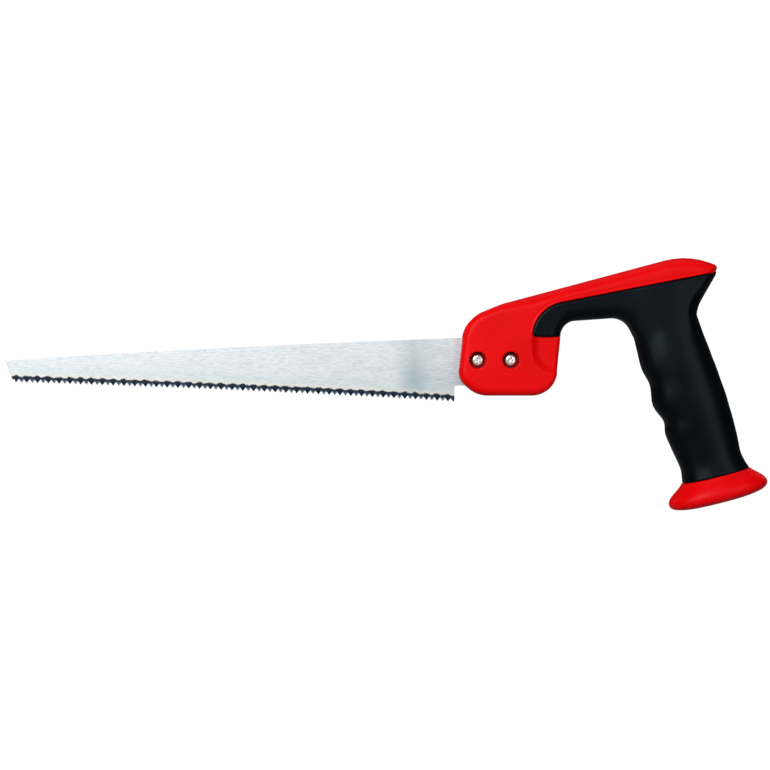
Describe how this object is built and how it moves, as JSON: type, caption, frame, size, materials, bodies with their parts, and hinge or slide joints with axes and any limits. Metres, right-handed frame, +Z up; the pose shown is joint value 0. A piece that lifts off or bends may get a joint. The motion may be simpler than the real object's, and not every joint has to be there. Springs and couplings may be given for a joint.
{
  "type": "compass saw",
  "caption": "Tapered hard-point saw blade bolted into a moulded pistol-grip handle with a soft overmoulded grip and a flared pommel.",
  "frame": {"origin": "middle of the grip, on the blade's mid-plane", "axes": "+X from the blade's tip towards the handle, +Y through the thickness towards the nut side, +Z up, away from the teeth"},
  "size_m": [0.5116, 0.0436, 0.1694],
  "materials": {
    "blade_steel": "ground and polished, induction-hardened tooth points",
    "red_plastic": "satin moulded",
    "black_soft_plastic": "smooth soft-touch",
    "plated_steel": "bright zinc plate"
  },
  "bodies": {
    "root": {"blade": "blade_steel", "handle_core": "red_plastic", "grip_overmould": "black_soft_plastic", "pommel_cap": "red_plastic", "front_blade_screw": "plated_steel", "rear_blade_screw": "plated_steel", "front_blade_nut": "plated_steel", "rear_blade_nut": "plated_steel"}
  },
  "joints": []
}
